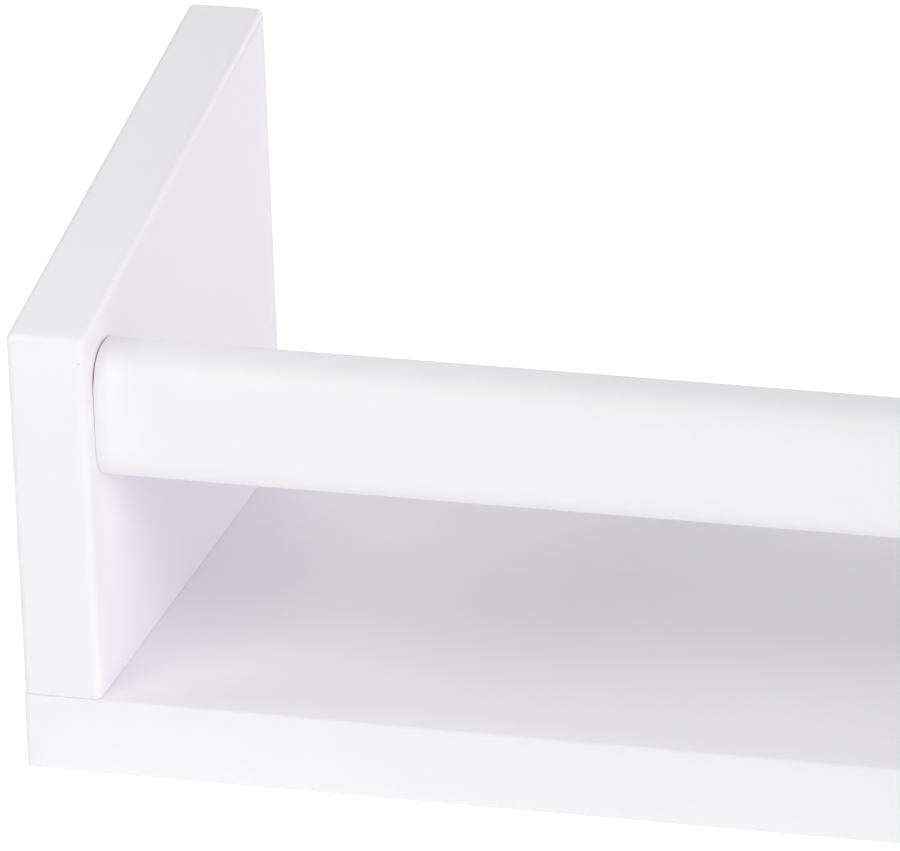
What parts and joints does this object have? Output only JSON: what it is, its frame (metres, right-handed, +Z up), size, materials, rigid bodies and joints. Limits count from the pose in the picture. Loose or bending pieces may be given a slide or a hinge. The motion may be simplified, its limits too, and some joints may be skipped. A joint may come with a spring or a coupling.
{
  "type": "wall bookcase tier",
  "caption": "Low open-backed wall bookcase tier: a bottom board, end panels with tops that climb to the back, a rounded front rail, and keyhole hanger plates in the back edges.",
  "frame": {"origin": "middle of the bottom board's underside, half way along the length and the depth", "axes": "+X to the right along the length, as seen from in front; +Y to the back, towards the wall; +Z up"},
  "size_m": [0.6024, 0.15, 0.1361],
  "materials": {
    "white_lacquer": "satin white lacquer over fibreboard",
    "beech": "bare turned beech",
    "zinc_steel": "bright zinc plating",
    "cap_plastic": "matt moulded"
  },
  "bodies": {
    "root": {"bottom_board": "white_lacquer", "left_end_panel": "white_lacquer", "right_end_panel": "white_lacquer", "front_rail": "white_lacquer", "left_front_base_screw": "zinc_steel", "left_back_base_screw": "zinc_steel", "right_front_base_screw": "zinc_steel", "right_back_base_screw": "zinc_steel", "left_front_base_dowel": "beech", "left_back_base_dowel": "beech", "right_front_base_dowel": "beech", "right_back_base_dowel": "beech", "left_rail_screw": "zinc_steel", "right_rail_screw": "zinc_steel", "left_rail_dowel": "beech", "right_rail_dowel": "beech", "left_screw_cap": "cap_plastic", "right_screw_cap": "cap_plastic", "left_hanger_plate": "zinc_steel", "right_hanger_plate": "zinc_steel", "left_upper_hanger_screw": "zinc_steel", "left_lower_hanger_screw": "zinc_steel", "right_upper_hanger_screw": "zinc_steel", "right_lower_hanger_screw": "zinc_steel"}
  },
  "joints": []
}
